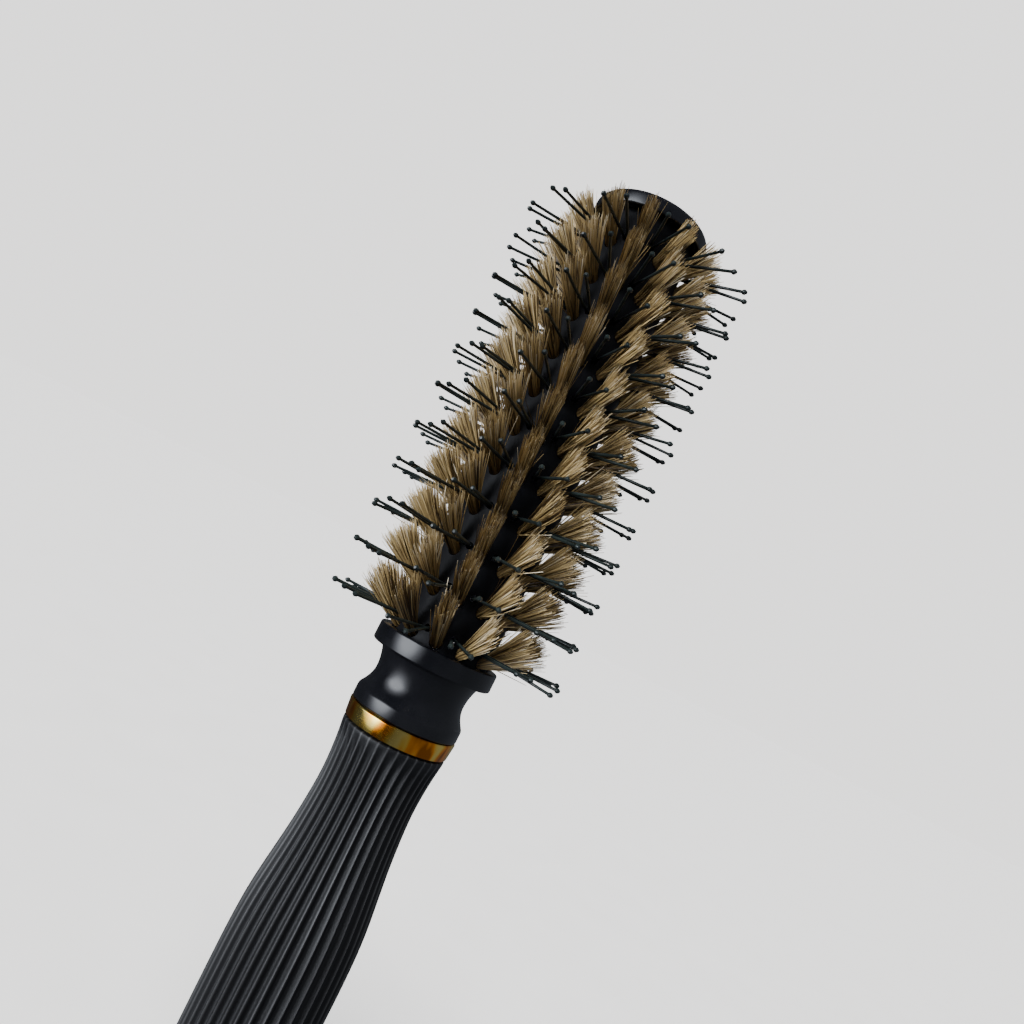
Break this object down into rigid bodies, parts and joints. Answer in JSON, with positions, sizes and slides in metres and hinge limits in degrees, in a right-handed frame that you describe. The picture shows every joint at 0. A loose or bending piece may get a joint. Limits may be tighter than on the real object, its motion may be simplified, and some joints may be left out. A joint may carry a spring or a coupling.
{
  "type": "round barrel brush",
  "caption": "Round hair brush: fluted soft-touch grip, gold neck ring, glossy waisted collar and a straight black barrel with slanted boar tufts and ball-tipped nylon pins.",
  "frame": {"origin": "middle of the flat butt face, the lowest point of the brush when it stands on its handle", "axes": "+Z along the brush from the butt to the tip; the first row of boar tufts faces -Y"},
  "size_m": [0.0512, 0.0512, 0.2467],
  "materials": {
    "soft_grip": "satin soft-touch, fine moulded ribs",
    "core_plastic": "moulded",
    "gold": "polished",
    "gloss_black": "high gloss",
    "steel": "drawn wire",
    "boar_bristle": "natural hair, tan to dark brown",
    "nylon_pin": "semi-gloss"
  },
  "bodies": {
    "root": {"handle_core": "core_plastic", "grip_sleeve": "soft_grip", "neck_ring": "gold", "collar": "gloss_black", "barrel": "gloss_black", "end_cap": "gloss_black", "tie_rod": "steel", "boar_row_01": "boar_bristle", "boar_row_02": "boar_bristle", "boar_row_03": "boar_bristle", "boar_row_04": "boar_bristle", "boar_row_05": "boar_bristle", "boar_row_06": "boar_bristle", "boar_row_07": "boar_bristle", "boar_row_08": "boar_bristle", "boar_row_09": "boar_bristle", "boar_row_10": "boar_bristle", "boar_row_11": "boar_bristle", "boar_row_12": "boar_bristle", "pin_row_01": "nylon_pin", "pin_row_02": "nylon_pin", "pin_row_03": "nylon_pin", "pin_row_04": "nylon_pin", "pin_row_05": "nylon_pin", "pin_row_06": "nylon_pin", "pin_row_07": "nylon_pin", "pin_row_08": "nylon_pin", "pin_row_09": "nylon_pin", "pin_row_10": "nylon_pin", "pin_row_11": "nylon_pin", "pin_row_12": "nylon_pin"}
  },
  "joints": []
}
